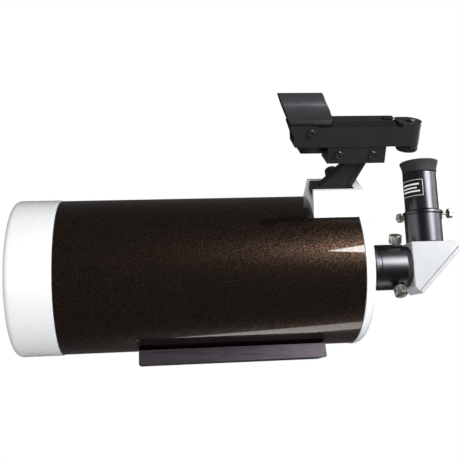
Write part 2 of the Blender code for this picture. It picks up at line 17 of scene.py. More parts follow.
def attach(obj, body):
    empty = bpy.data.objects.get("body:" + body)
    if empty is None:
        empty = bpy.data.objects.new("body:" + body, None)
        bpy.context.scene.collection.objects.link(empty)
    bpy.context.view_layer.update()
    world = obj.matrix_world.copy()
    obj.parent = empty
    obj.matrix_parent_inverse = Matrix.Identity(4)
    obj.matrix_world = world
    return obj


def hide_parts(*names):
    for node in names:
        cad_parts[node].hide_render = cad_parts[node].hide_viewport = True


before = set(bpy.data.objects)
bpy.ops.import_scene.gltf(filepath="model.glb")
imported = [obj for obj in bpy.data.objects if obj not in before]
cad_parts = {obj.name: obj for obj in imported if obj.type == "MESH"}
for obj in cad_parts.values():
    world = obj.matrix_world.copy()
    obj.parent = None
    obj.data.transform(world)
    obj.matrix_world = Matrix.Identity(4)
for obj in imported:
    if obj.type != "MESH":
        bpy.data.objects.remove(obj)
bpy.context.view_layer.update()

MM = 0.001


# ---------------------------------------------------------------- places

def shift(x, y, z):
    return Matrix.Translation((x, y, z))


def turn(angle, axis):
    return Matrix.Rotation(radians(angle), 4, axis)


AXIS_HEIGHT = 85             # the optical axis above the underside of the bar
FOLD_X = 199.6               # where the diagonal turns the light, along the optical axis
FOCUS_SIDE = 45              # the focus knob's axis, sideways from the optical axis
WORLD = Matrix.Identity(4)
CENTRE = shift(0, 0, AXIS_HEIGHT)
EAST = turn(90, "Y")                        # local Z along +X
SIDE_ON = turn(90, "X")                     # an outline in XZ, its thickness along -Y
END_ON = turn(90, "Z") @ turn(90, "X")      # an outline in YZ, its thickness along +X
TUBE = CENTRE @ EAST
DIAGONAL = CENTRE @ turn(4.5, "X")
FINDER = CENTRE @ turn(39.5, "X")
EYEPIECE = DIAGONAL @ shift(FOLD_X, 0, 0)
MIRROR_SEAT = EYEPIECE @ turn(135, "Y")
FOCUS = shift(0, FOCUS_SIDE, AXIS_HEIGHT) @ EAST

# Axes in the finder's frame
HOOD_HEIGHT = 160
HOOD_AXIS = shift(0, 0, HOOD_HEIGHT) @ EAST
AZIMUTH_AXIS = shift(70.6, 0, 0)
ALTITUDE_AXIS = shift(161, 0, 0)
TILT_AXIS = shift(68.7, 0, 142.4) @ SIDE_ON


# ---------------------------------------------------------------- finishes

def new_finish(name, colour, roughness, metallic=0.0, coat=0.0, coat_roughness=0.05):
    made = bpy.data.materials.new(name)
    made.use_nodes = True
    shader = made.node_tree.nodes["Principled BSDF"]
    shader.inputs["Base Color"].default_value = (*colour, 1)
    shader.inputs["Roughness"].default_value = roughness
    shader.inputs["Metallic"].default_value = metallic
    shader.inputs["Coat Weight"].default_value = coat
    shader.inputs["Coat Roughness"].default_value = coat_roughness
    return made, shader


def node(made, kind, **inputs):
    """A new shader node with some inputs set; underscores stand for the spaces in their names."""
    added = made.node_tree.nodes.new(kind)
    for name, value in inputs.items():
        added.inputs[name.replace("_", " ")].default_value = value
    return added


def link(made, output, target):
    made.node_tree.links.new(output, target)


def noise(made, scale, detail=3.0, stretch=(1, 1, 1)):
    """Noise over the piece's own coordinates; scale is in cycles a metre, and stretch drags it out."""
    place = node(made, "ShaderNodeTexCoord")
    mapping = node(made, "ShaderNodeMapping", Scale=stretch)
    texture = node(made, "ShaderNodeTexNoise", Scale=scale, Detail=detail)
    link(made, place.outputs["Object"], mapping.inputs["Vector"])
    link(made, mapping.outputs["Vector"], texture.inputs["Vector"])
    return texture.outputs["Fac"]


def spread(made, value, low, high, start=0.3, end=0.7):
    mapped = node(made, "ShaderNodeMapRange", From_Min=start, From_Max=end, To_Min=low, To_Max=high)
    link(made, value, mapped.inputs["Value"])
    return mapped.outputs["Result"]


def blend_colours(made, value, first, second, start=0.3, end=0.7):
    ramp = node(made, "ShaderNodeValToRGB")
    ramp.color_ramp.elements[0].position = start
    ramp.color_ramp.elements[0].color = (*first, 1)
    ramp.color_ramp.elements[1].position = end
    ramp.color_ramp.elements[1].color = (*second, 1)
    link(made, value, ramp.inputs["Fac"])
    return ramp.outputs["Color"]


def bump(made, shader, height, strength, depth):
    """Raises the surface by depth millimetres where height is 1."""
    added = node(made, "ShaderNodeBump", Strength=strength, Distance=depth * MM)
    link(made, height, added.inputs["Height"])
    link(made, added.outputs["Normal"], shader.inputs["Normal"])


def shaded(colour, factor):
    return tuple(min(1.0, channel * factor) for channel in colour)


def grained(name, colour, roughness, metallic=0.0, coat=0.0, grain=900, depth=0.02, strength=0.4, vary=0.12,
            stretch=(1, 1, 1), wear=0.08):
    """A finish with a fine grain, broad drifts of tone and an uneven gloss."""
    made, shader = new_finish(name, colour, roughness, metallic, coat)
    drift = noise(made, 45, 4)
    tone = blend_colours(made, drift, shaded(colour, 1 - vary), shaded(colour, 1 + vary))
    link(made, tone, shader.inputs["Base Color"])
    fine = noise(made, grain, 3, stretch)
    link(made, spread(made, fine, max(0.02, roughness - wear), min(1, roughness + wear)),
         shader.inputs["Roughness"])
    bump(made, shader, fine, strength, depth)
    return made


def flake_paint():
    """Near-black brown paint full of gold flakes, each tilted its own way, under a clear coat."""
    made, shader = new_finish("flake_paint", (0.010, 0.007, 0.005), 0.34, 0.9, 1.0, 0.03)
    place = node(made, "ShaderNodeTexCoord")
    cells = node(made, "ShaderNodeTexVoronoi", Scale=4000)
    link(made, place.outputs["Object"], cells.inputs["Vector"])
    split = node(made, "ShaderNodeSeparateColor")
    link(made, cells.outputs["Color"], split.inputs["Color"])
    paint, gold = (0.004, 0.003, 0.0025), (0.28, 0.155, 0.090)
    flake = blend_colours(made, split.outputs["Red"], paint, gold, 0.71, 1.0)
    link(made, flake, shader.inputs["Base Color"])
    link(made, spread(made, split.outputs["Green"], 0.20, 0.34, 0, 1), shader.inputs["Roughness"])
    bump(made, shader, split.outputs["Blue"], 0.30, 0.05)
    shader.inputs["Coat IOR"].default_value = 1.62
    return made


def turned_metal(name, colour, roughness, pitch, metallic=1.0, depth=0.002):
    """Metal with fine rings left by the lathe round the piece's local Z."""
    made, shader = new_finish(name, colour, roughness, metallic)
    tone = blend_colours(made, noise(made, 60, 3), shaded(colour, 0.9), shaded(colour, 1.1))
    link(made, tone, shader.inputs["Base Color"])
    place = node(made, "ShaderNodeTexCoord")
    rings = node(made, "ShaderNodeTexWave", Scale=1000 / pitch / 20, Distortion=0.6, Detail=2.0)
    rings.bands_direction = "Z"
    link(made, place.outputs["Object"], rings.inputs["Vector"])
    gloss = spread(made, noise(made, 900, 3), roughness * 0.92, roughness * 1.1)
    link(made, gloss, shader.inputs["Roughness"])
    bump(made, shader, rings.outputs["Fac"], 0.12, depth)
    return made


def glass(name, tint, coat_tint):
    """Clear optical glass. The coating shows as a tinted reflection that drifts a little over the surface."""
    made, shader = new_finish(name, tint, 0.0)
    shader.inputs["Transmission Weight"].default_value = 1.0
    shader.inputs["IOR"].default_value = 1.52
    tone = blend_colours(made, noise(made, 20, 2), shaded(tint, 0.97), shaded(tint, 1.0))
    link(made, tone, shader.inputs["Base Color"])
    shader.inputs["Coat Weight"].default_value = 0.6
    shader.inputs["Coat Tint"].default_value = (*coat_tint, 1)
    shader.inputs["Specular Tint"].default_value = (*coat_tint, 1)
    return made


FLAKE = flake_paint()
ENAMEL = grained("white_enamel", (0.80, 0.81, 0.825), 0.30, coat=0.6, grain=260, depth=0.03, strength=0.06,
                 vary=0.015, wear=0.05)
MATT_BLACK = grained("matt_black", (0.012, 0.012, 0.013), 0.75, grain=1500, depth=0.03)
ANODISED = turned_metal("black_anodised", (0.10, 0.096, 0.106), 0.30, 0.5)
EYEPIECE_BLACK = turned_metal("eyepiece_black", (0.085, 0.084, 0.092), 0.24, 0.4, 0.9)
SATIN_BLACK = grained("satin_black", (0.026, 0.025, 0.028), 0.36, 0.4, grain=2200, depth=0.012)
BAR_FINISH = grained("dovetail_anodised", (0.088, 0.073, 0.090), 0.33, 0.75, grain=700, depth=0.01,
                     stretch=(0.03, 1, 1), vary=0.10)
HOOD_BLACK = grained("hood_black", (0.070, 0.067, 0.074), 0.26, 0.5, grain=1700, depth=0.01, strength=0.3,
                     wear=0.05)
MOULDING = grained("black_moulding", (0.016, 0.0145, 0.016), 0.45, grain=1700, depth=0.03, strength=0.5,
                   vary=0.15)
DIAGONAL_SHELL = grained("diagonal_shell", (0.455, 0.467, 0.488), 0.42, coat=0.15, grain=1300, depth=0.02,
                         strength=0.35, vary=0.04)
RUBBER = grained("rubber", (0.022, 0.021, 0.022), 0.72, grain=1900, depth=0.05, strength=0.6, vary=0.2)
NICKEL = turned_metal("nickel", (0.60, 0.56, 0.51), 0.22, 0.3)
CHROME = turned_metal("chrome", (0.72, 0.72, 0.73), 0.10, 0.6)
MACHINED = turned_metal("machined", (0.52, 0.52, 0.53), 0.32, 0.4)
BLACK_STEEL = turned_metal("blackened_steel", (0.30, 0.285, 0.295), 0.24, 0.3)
BRASS = turned_metal("brass", (0.66, 0.46, 0.18), 0.28, 0.4)
SILVERED = grained("silvered", (0.90, 0.90, 0.92), 0.03, 1.0, grain=40, depth=0.001, strength=0.05, vary=0.01,
                   wear=0.01)
CORK = grained("cork", (0.30, 0.19, 0.10), 0.85, grain=600, depth=0.2, vary=0.35)
LENS_GLASS = glass("lens_glass", (0.93, 0.98, 0.96), (0.45, 0.75, 0.60))
SIGHT_GLASS = glass("sight_glass", (0.80, 0.93, 0.92), (1.0, 0.35, 0.22))
PRINT = grained("white_print", (0.80, 0.80, 0.80), 0.5, grain=1500, depth=0.003, vary=0.03)

# Pieces in these finishes keep their own local Z, which their lathe rings go round
TURNED = (ANODISED, NICKEL, CHROME, MACHINED, EYEPIECE_BLACK, BLACK_STEEL, BRASS)


# ---------------------------------------------------------------- shapes

def put(shape, place):
    shape.transform(place)
    return shape


def block(low, high):
    low, high = Vector(low), Vector(high)
    shape = bmesh.new()
    size = Matrix.Diagonal((*(high - low), 1))
    bmesh.ops.create_cube(shape, size=1, matrix=Matrix.Translation((low + high) / 2) @ size)
    return shape


def cylinder(radius, low, high, steps):
    shape = bmesh.new()
    bmesh.ops.create_cone(shape, cap_ends=True, segments=steps, radius1=radius, radius2=radius,
                          depth=high - low, matrix=shift(0, 0, (low + high) / 2))
    return shape


def prism(outline, low, high, plane):
    """A flat outline made thick from low to high."""
    shape = bmesh.new()
    face = shape.faces.new([shape.verts.new((x, y, low)) for x, y in outline])
    grown = bmesh.ops.extrude_face_region(shape, geom=[face])["geom"]
    lifted = [piece for piece in grown if isinstance(piece, bmesh.types.BMVert)]
    bmesh.ops.translate(shape, verts=lifted, vec=(0, 0, high - low))
    bmesh.ops.recalc_face_normals(shape, faces=shape.faces)
    return put(shape, plane)


def arc(centre, radius, start, end, count):
    turns = [radians(start + (end - start) * i / (count - 1)) for i in range(count)]
    return [(centre[0] + radius * cos(t), centre[1] + radius * sin(t)) for t in turns]


def softened(profile, radius, closed):
    """The profile with each corner that isn't on the axis rounded off by about radius."""
    points = [Vector(p) for p in profile]
    count = len(points)
    made = []
    for i, here in enumerate(points):
        end = not closed and i in (0, count - 1)
        before, after = points[i - 1], points[(i + 1) % count]
        into, away = here - before, after - here
        if end or here.y < 1e-6 or into.angle(away, 0) < radians(20):
            made.append(here)
            continue
        cut_back = min(radius, 0.45 * into.length, 0.45 * away.length)
        start, stop = here - into.normalized() * cut_back, here + away.normalized() * cut_back
        for t in (0, 0.3, 0.7, 1):
            made.append(start * (1 - t) ** 2 + here * 2 * t * (1 - t) + stop * t ** 2)
    return made


def lathe(profile, steps=128, soft=0.35, flutes=None):
    """A turned shape. flutes is (count, depth, low, high): grooves along the outside between two heights."""
    closed = profile[0][1] > 1e-6
    points = softened(profile, soft, closed)
    shape = bmesh.new()
    rings = []
    widest = max(r for h, r in points)
    for h, r in points:
        if r < 1e-6:
            rings.append([shape.verts.new((0, 0, h))] * steps)
            continue
        ring = []
        for i in range(steps):
            a = 2 * pi * i / steps
            radius = r
            if flutes and flutes[2] <= h <= flutes[3] and r > widest - 3 * flutes[1]:
                radius -= flutes[1] * (0.5 - 0.5 * cos(flutes[0] * a)) ** 2
            ring.append(shape.verts.new((radius * cos(a), radius * sin(a), h)))
        rings.append(ring)
    pairs = list(zip(rings, rings[1:]))
    if closed:
        pairs.append((rings[-1], rings[0]))
    for low, high in pairs:
        for i in range(steps):
            j = (i + 1) % steps
            corners = []
            for corner in (low[i], low[j], high[j], high[i]):
                if corner not in corners:
                    corners.append(corner)
            shape.faces.new(corners)
    bmesh.ops.recalc_face_normals(shape, faces=shape.faces)
    return shape


def temporary(shape):
    mesh = bpy.data.meshes.new("temporary")
    shape.to_mesh(mesh)
    shape.free()
    made = bpy.data.objects.new("temporary", mesh)
    bpy.context.scene.collection.objects.link(made)
    return made


def carved(base, cuts=(), joins=(), keep=None):
    """The base shape joined to some shapes, then cut by others, and cropped to keep."""
    piece = temporary(base)
    tools = []
    wanted = [(shape, "UNION") for shape in joins] + [(shape, "DIFFERENCE") for shape in cuts]
    if keep:
        wanted.append((keep, "INTERSECT"))
    for shape, operation in wanted:
        tool = temporary(shape)
        tools.append(tool)
        boolean = piece.modifiers.new(operation, "BOOLEAN")
        boolean.operation = operation
        boolean.solver = "MANIFOLD"
        boolean.object = tool
    depsgraph = bpy.context.evaluated_depsgraph_get()
    result = bpy.data.meshes.new_from_object(piece.evaluated_get(depsgraph))
    for spent in [piece] + tools:
        bpy.data.objects.remove(spent)
    shape = bmesh.new()
    shape.from_mesh(result)
    bmesh.ops.remove_doubles(shape, verts=shape.verts, dist=0.002)
    bmesh.ops.dissolve_limit(shape, angle_limit=0.002, verts=shape.verts, edges=shape.edges)
    return shape


def add(name, shape, finish, body, place, nodes=(), edge=0.0, segments=3):
    """One visible piece, riding on a body and standing for some CAD nodes. edge rounds its edges."""
    finishes = finish if isinstance(finish, tuple) else (finish,)
    metres = Matrix.Scale(MM, 4)
    keeps_axis = finish in TURNED
    shape.transform(metres if keeps_axis else metres @ place)
    mesh = bpy.data.meshes.new(name)
    shape.to_mesh(mesh)
    shape.free()
    mesh.shade_smooth()
    for layer in finishes:
        mesh.materials.append(layer)
    piece = bpy.data.objects.new(name, mesh)
    bpy.context.scene.collection.objects.link(piece)
    if keeps_axis:
        piece.matrix_world = Matrix.Translation(place.translation * MM) @ place.to_3x3().to_4x4()
    if edge:
        bevel = piece.modifiers.new("edge", "BEVEL")
        bevel.width = edge * MM
        bevel.segments = segments
        bevel.limit_method = "ANGLE"
        bevel.angle_limit = radians(28)
        bevel.use_clamp_overlap = True
    piece.modifiers.new("shading", "WEIGHTED_NORMAL")
    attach(piece, body)
    if nodes:
        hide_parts(*nodes)
    return piece


def paint_inside(piece, place, radius):
    """Gives the second finish to the faces that lie within radius of the place's local Z."""
    local = place.inverted()
    for face in piece.data.polygons:
        centre = local @ (face.center / MM)
        face.material_index = int(centre.xy.length < radius)


def refinish(finish, *nodes):
    """A CAD node whose shape is right keeps it, and takes a better finish."""
    for name in nodes:
        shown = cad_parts[name]
        shown.data.materials.clear()
        shown.data.materials.append(finish)


# ---------------------------------------------------------------- tube, ring and optics

TUBE_RADIUS = 72
TUBE_BORE = 70
CELL_RADIUS = 72.7           # outside the front ring and the rear cell
RING_ROUNDING = 5.5
CELL_ROUNDING = 10
LENS_RIM = 63.7
BARREL_RADIUS = 15.875       # half of the standard 1.25 inch


def lens_face(pole, curvature, reach, count=14):
    radii = [reach * i / (count - 1) for i in range(count)]
    return [(pole - (curvature - sqrt(curvature ** 2 - r ** 2)), r) for r in radii]


def optical_tube():
    wall = [(-155.3, TUBE_BORE), (-155.3, TUBE_RADIUS), (115.7, TUBE_RADIUS), (115.7, TUBE_BORE)]
    skin = add("tube_skin", lathe(wall, 256, 0.3), (FLAKE, MATT_BLACK), "optical_tube", TUBE, ["main_tube"])
    paint_inside(skin, TUBE, TUBE_BORE + 0.5)
    ring = [(-155.6, 69.7), (-155.6, CELL_RADIUS)]
    ring += arc((-190.9, CELL_RADIUS - RING_ROUNDING), RING_ROUNDING, 90, 180, 12)
    ring += [(-196.4, 66.7), (-195.8, 66), (-171.85, 66), (-171.85, LENS_RIM), (-168, LENS_RIM), (-166, 66),
             (-145.3, 66), (-145.3, 69.7)]
    shell = add("front_ring_shell", lathe(ring, 256, 0.5), (ENAMEL, MATT_BLACK), "optical_tube", TUBE,
                ["front_ring"])
    paint_inside(shell, TUBE, 66.2)
    retainer = [(-191, LENS_RIM), (-191, 65.7)]
    retainer += [(-190.4 + i * 0.55, 65.7 - 0.25 * (i % 2)) for i in range(8)]
    retainer += [(-185.95, 65.7), (-185.95, LENS_RIM)]
    add("lens_retainer", lathe(retainer, 192, 0.15), SATIN_BLACK, "optical_tube", TUBE,
        ["corrector_retainer"])
    front, rear = lens_face(-174, 180, LENS_RIM), lens_face(-162, 186, LENS_RIM)
    meniscus = front + [(front[-1][0], 65.6), (rear[-1][0], 65.6)] + rear[::-1]
    add("meniscus_lens", lathe(meniscus, 192, 0.2), LENS_GLASS, "optical_tube", TUBE, ["corrector_lens"])
    spot = lens_face(-161.9, 186, 18.8, 6) + lens_face(-161.5, 186, 18.8, 6)[::-1]
    add("secondary_mirror_spot", lathe(spot, 96, 0), SILVERED, "optical_tube", TUBE)
    add("secondary_shade", lathe([(-162.6, 19.5), (-162.6, 21), (-140, 22.5), (-140, 21)], 96), MATT_BLACK,
        "optical_tube", TUBE, ["secondary_baffle"])
    baffle = [(-30, 16)] + [(-30 + 3 * i, 17.5 - 0.5 * (i % 2)) for i in range(34)]
    baffle += [(113.7, 17.5), (113.7, 27), (118.2, 27), (118.2, 16)]
    add("baffle_tube", lathe(baffle, 64, 0), MATT_BLACK, "optical_tube", TUBE, ["primary_baffle"])
    dish = [(76 - r * r / 960, r) for r in [21.3 + 44.7 * i / 16 for i in range(17)]]
    add("mirror_disc", lathe(dish + [(90, 66), (90, 21.3)], 192, 0.3), SILVERED, "mirror_cell", TUBE,
        ["primary_mirror"])
    add("mirror_lock_ring", lathe([(71.5, 21.3), (71.5, 26), (75, 26), (75, 21.3)], 96), SATIN_BLACK,
        "mirror_cell", TUBE, ["mirror_retainer"])


def rear_cell():
    cell = [(105.7, 66), (105.7, 69.7), (116, 69.7), (116, CELL_RADIUS)]
    cell += arc((116.6, CELL_RADIUS - CELL_ROUNDING), CELL_ROUNDING, 90, 0, 18)
    cell += [(126.6, 31), (133.2, 29), (134.2, 28), (134.2, 22.3), (118.6, 22.3), (118.6, 64), (115.6, 66)]
    add("rear_cell_shell", lathe(cell, 256, 0.4), ENAMEL, "optical_tube", TUBE, ["rear_cell"])
    port = [(119, 17.5), (119, 22), (134.5, 22), (134.5, 25.5), (139.7, 25.5), (139.7, 17.5)]
    add("port_adapter", lathe(port, 144, 0.4, (48, 0.35, 135, 139)), ANODISED, "optical_tube", TUBE,
        ["rear_port_adapter"])
    back = [(140, 17.5), (140, 23.7), (140.5, 24.2), (142.2, 24.2), (142.7, 23.7), (143, 22.3), (146.5, 22.3),
            (147, 22.5), (172.2, 22.5), (173, 21.7), (173, 16.2), (148, 16.2), (148, 17.5)]
    add("visual_back_shell", lathe(back, 192, 0.25, (72, 0.3, 140.4, 142.4)), ANODISED, "optical_tube", TUBE,
        ["visual_back"])
    knob = [(138, 0), (138, 3.3), (127.2, 3.3), (127.2, 12.2), (128, 13), (143.6, 13), (145, 11.8),
            (144.6, 9.5), (144.2, 9), (144.2, 0)]
    add("focus_knob_grip", lathe(knob, 192, 0.4, (28, 0.7, 128.6, 143)), RUBBER, "focuser", FOCUS,
        ["focus_knob"])


# ---------------------------------------------------------------- screws

COLLIMATION_RADIUS = 50
BAR_SCREW_X = 50
BACK_SCREW_X = 165.2
HOLDER_SCREW_HEIGHT = 52.9


def socket_screw(name, place, low, high, radius, body, nodes, shank, tip, finish=NICKEL):
    """A cap head from low to high with a hexagon socket, on a plain shank down to tip."""
    profile = [(tip, 0), (tip, shank), (low, shank), (low, radius), (high, radius), (high, 0)]
    hexagon = cylinder(radius * 0.55, high - 0.55 * (high - low), high + 1, 6)
    add(name, carved(lathe(profile, 48, 0.3), [hexagon]), finish, body, place, nodes)


def thumbscrew(name, place, tip, low, high, shank, head, body, nodes, finish=NICKEL):
    """A knurled head on a plain shank, with a collar under the head and a dished end."""
    profile = [(tip, 0), (tip, shank), (low - 0.1, shank), (low, shank + 1.2), (low + 1, shank + 1.4),
               (low + 1.2, head - 0.5), (low + 1.8, head), (high - 0.8, head), (high, head - 0.8),
               (high, head - 1.8), (high - 0.5, head - 2.4), (high - 0.5, 0)]
    add(name, lathe(profile, 160, 0.25, (32, 0.32, low + 1.9, high - 0.9)), finish, body, place, nodes)


def fasteners():
    for number, angle in enumerate((0, 120, 240)):
        side, up = -COLLIMATION_RADIUS * sin(radians(angle)), COLLIMATION_RADIUS * cos(radians(angle))
        place = shift(0, side, AXIS_HEIGHT + up) @ EAST
        socket_screw("collimation_cap_%d" % (number + 1), place, 126.9, 129.6, 3.5, "optical_tube",
                     ["collimation_screw_%d" % (number + 1)], 1.6, 114)
    for side, end in ((-1, "front"), (1, "rear")):
        place = shift(BAR_SCREW_X * side, 0, 0) @ turn(180, "X")
        socket_screw("bar_screw_" + end, place, -8, -3, 5, "optical_tube", ["dovetail_screw_" + end], 2.8,
                     -18.7)
    for end, along, body, node_name in (("upper", 26.5, "back_screw_upper", "visual_back_screw_upper"),
                                        ("lower", 154.5, "back_screw_lower", "visual_back_screw_lower")):
        place = shift(BACK_SCREW_X, 0, AXIS_HEIGHT) @ turn(along, "X")
        thumbscrew("visual_back_thumbscrew_" + end, place, 16.3, 23.3, 33, 2, 6.2, body, [node_name])
    for end, around, low, high, radius, body in (("rear", 0, 24.3, 30.3, 4.9, "holder_screw_a"),
                                                 ("front", 125, 23.2, 30, 4.7, "holder_screw_b")):
        place = EYEPIECE @ shift(0, 0, HOLDER_SCREW_HEIGHT) @ turn(around, "Z") @ EAST
        thumbscrew("holder_thumbscrew_" + end, place, 16.3, low, high, 1.2, radius, body,
                   ["holder_screw_" + end])
    clamp = FINDER @ shift(101.5, 17.6, 84.1) @ turn(-65, "X")
    thumbscrew("shoe_thumbscrew_knob", clamp, -4.4, 7, 17, 2, 6.3, "shoe_clamp", ["shoe_thumbscrew"],
               SATIN_BLACK)
    for x, end in ((-26, "upper"), (24, "lower")):
        socket_screw("cover_screw_head_" + end, MIRROR_SEAT @ shift(x, 0, 0), 10.7, 12, 2.4, "star_diagonal",
                     ["diagonal_cover_screw_" + end], 1.2, 1.4)
    for x, n, end in ((95.1, 122.3, "front"), (126.1, 122.0, "rear")):
        socket_screw("clamp_screw_head_" + end, FINDER @ shift(x, 0, n) @ SIDE_ON, 11.3, 12.6, 3.4,
                     "finder_mount", ["finder_clamp_screw_" + end], 1.3, 4, BLACK_STEEL)
    socket_screw("pivot_screw_head", FINDER @ TILT_AXIS, 12.3, 13.6, 3.4, "finder_cradle",
                 ["finder_pivot_screw"], 1.5, -11.8, BLACK_STEEL)


# ---------------------------------------------------------------- dovetail bar and finder shoe

def bar_and_shoe():
    seat = TUBE_RADIUS + 0.3
    section = [(-22, 0), (22, 0), (18.6, 12.7), (-18.6, 12.7)]
    holes = []
    for side in (-1, 1):
        holes.append(put(cylinder(5.4, -1, 8.3, 48), shift(BAR_SCREW_X * side, 0, 0)))
    holes.append(put(cylinder(3.2, -1, 9, 40), shift(-20, 0, 0)))
    holes.append(put(cylinder(4.8, -1, 9, 40), shift(20, 0, 0)))
    add("dovetail_bar_body", carved(prism(section, -85.8, 85.8, END_ON), holes), BAR_FINISH, "optical_tube",
        WORLD, ["dovetail_bar"], 0.6)
    foot = degrees(asin(25.2 / seat))
    section = [(-15, 89.7), (15, 89.7)] + arc((0, 0), seat, 90 - foot, 90 + foot, 25)
    channel = [(-13.5, 80), (13.5, 80), (11, 89.7), (11, 95), (-11, 95), (-11, 89.7)]
    cell_seat = put(cylinder(CELL_RADIUS + 0.3, 115.7, 140, 256), EAST)
    shoe = carved(prism(section, 74.3, 121, END_ON), [prism(channel, 69, 113, END_ON), cell_seat])
    add("finder_shoe_body", shoe, ENAMEL, "optical_tube", FINDER, ["finder_shoe"], 0.6)


# ---------------------------------------------------------------- star diagonal and eyepiece

def star_diagonal():
    outline = [(178.4, 22.8), (221.8, 22.8), (226.4, 18.2), (182.7, -25.5), (178.4, -21.2)]
    add("diagonal_housing", prism(outline, -19, 19, SIDE_ON), DIAGONAL_SHELL, "star_diagonal", DIAGONAL,
        ["diagonal_body"], 1.0, 4)
    add("diagonal_back_plate", block((-31, -18, 6.4), (29, 18, 10.4)), DIAGONAL_SHELL, "star_diagonal",
        MIRROR_SEAT, ["diagonal_cover"], 0.7)
    nosepiece = [(150, 13.5), (150, BARREL_RADIUS), (173.3, BARREL_RADIUS), (173.3, 20), (178.1, 20),
                 (178.1, 14.7), (184, 14.7), (184, 13.5)]
    barrel = add("diagonal_barrel", lathe(nosepiece, 160, 0.3), (MATT_BLACK, CHROME), "star_diagonal", TUBE,
                 ["diagonal_nosepiece"])
    paint_inside(barrel, TUBE, 16.1)
    holder = [(23.1, 14.7), (23.1, 18.55), (51.2, 18.55), (51.9, 19.6), (54.4, 19.6), (55, 19), (55, 16.2),
              (28, 16.2), (28, 13.5), (19, 13.5), (19, 14.7)]
    add("eyepiece_holder_tube", lathe(holder, 160, 0.3), ANODISED, "star_diagonal", EYEPIECE,
        ["eyepiece_holder"])


def eyepiece():
    barrel = [(55.3, 16.2), (55.3, 16.5), (55.8, 17), (93.4, 17), (94, 16.4), (94, 11), (90.3, 11),
              (90.3, 13.6), (58.9, 13.6), (58.9, 16.2)]
    add("eyepiece_barrel_shell", lathe(barrel, 160, 0.25), EYEPIECE_BLACK, "eyepiece", EYEPIECE,
        ["eyepiece_barrel"])
    nose = [(30, 14.2), (30, BARREL_RADIUS), (58.6, BARREL_RADIUS), (58.6, 13.3), (61.6, 13.3), (61.6, 12.2),
            (57, 12.2), (55, 14.2)]
    add("eyepiece_nose", lathe(nose, 128, 0.3), CHROME, "eyepiece", EYEPIECE, ["eyepiece_nosepiece"])
    cup = [(94.3, 12), (94.3, 16.9), (97.6, 16.9), (99.5, 17.2), (102.5, 18.1), (105.2, 19.1), (106.2, 18.8),
           (106, 17.9), (102.5, 15.6), (98.5, 12.8)]
    add("eyecup_rubber", lathe(cup, 128, 0.8), RUBBER, "eyepiece", EYEPIECE, ["eyecup"])
    lower = [(62, 0), (62, 13.3), (65.1, 13.3)] + lens_face(67.6, 30, 12)[::-1]
    add("field_lens_glass", lathe(lower, 96, 0.1), LENS_GLASS, "eyepiece", EYEPIECE, ["field_lens"])
    under = [(2 * 84.6 - h, r) for h, r in lens_face(84.6, 30, 12)]
    upper = under + [(87.1, 13.3), (89.96, 13.3)] + lens_face(92, 28, 10.5)[::-1]
    add("eye_lens_glass", lathe(upper, 96, 0.1), LENS_GLASS, "eyepiece", EYEPIECE, ["eye_lens"])


def label_line(shape, low, high, start, end):
    """Adds a printed line to the shape, wrapped on the eyepiece barrel between two heights and two angles."""
    inner, outer, steps = 16.95, 17.03, 24
    corners = []
    for i in range(steps + 1):
        a = radians(start + (end - start) * i / steps)
        corners.append([shape.verts.new((r * cos(a), r * sin(a), h))
                        for h, r in ((low, inner), (low, outer), (high, outer), (high, inner))])
    for before, after in zip(corners, corners[1:]):
        for k in range(4):
            shape.faces.new([before[k], before[(k + 1) % 4], after[(k + 1) % 4], after[k]])
    shape.faces.new(corners[0])
    shape.faces.new(corners[-1][::-1])


def eyepiece_label():
    """A plain frame with three bars where an eyepiece carries its printed label."""
    shape = bmesh.new()
    border = [(69.3, 69.7, 160, 256), (85.1, 85.5, 160, 256), (69.3, 85.5, 255, 256.5),
              (69.3, 85.5, 159.5, 161)]
    bars = [(80.2, 81.8, 178, 244), (76.7, 78.0, 178, 236), (73.2, 74.7, 178, 246)]
    for low, high, start, end in border + bars:
        label_line(shape, low, high, start, end)
    bmesh.ops.recalc_face_normals(shape, faces=shape.faces)
    add("eyepiece_label", shape, PRINT, "eyepiece", EYEPIECE)


# ---------------------------------------------------------------- finder

def finder_bracket():
    foot = [(-13.2, 80.3), (13.2, 80.3), (10.7, 89.4), (-10.7, 89.4)]
    strut = [(79.5, 86), (112, 86), (112, 89), (125.5, 117), (109.5, 117)]
    web = [(101, 92), (108.5, 92), (119, 112.5), (113.5, 112.5)]
    joins = [prism(strut, -5.5, 5.5, SIDE_ON), block((85.4, -11, 114), (138.3, 11, 129.4)),
             block((62, -5, 121.6), (90, 5, 123.9))]
    recesses = [prism(web, 4.6, 12, SIDE_ON), prism(web, -12, -4.6, SIDE_ON),
                put(cylinder(2.7, 118, 126, 32), AZIMUTH_AXIS)]
    add("bracket_casting", carved(prism(foot, 76, 112.7, END_ON), recesses, joins), MOULDING, "finder_mount",
        FINDER, ["finder_bracket"], 0.5, 2)


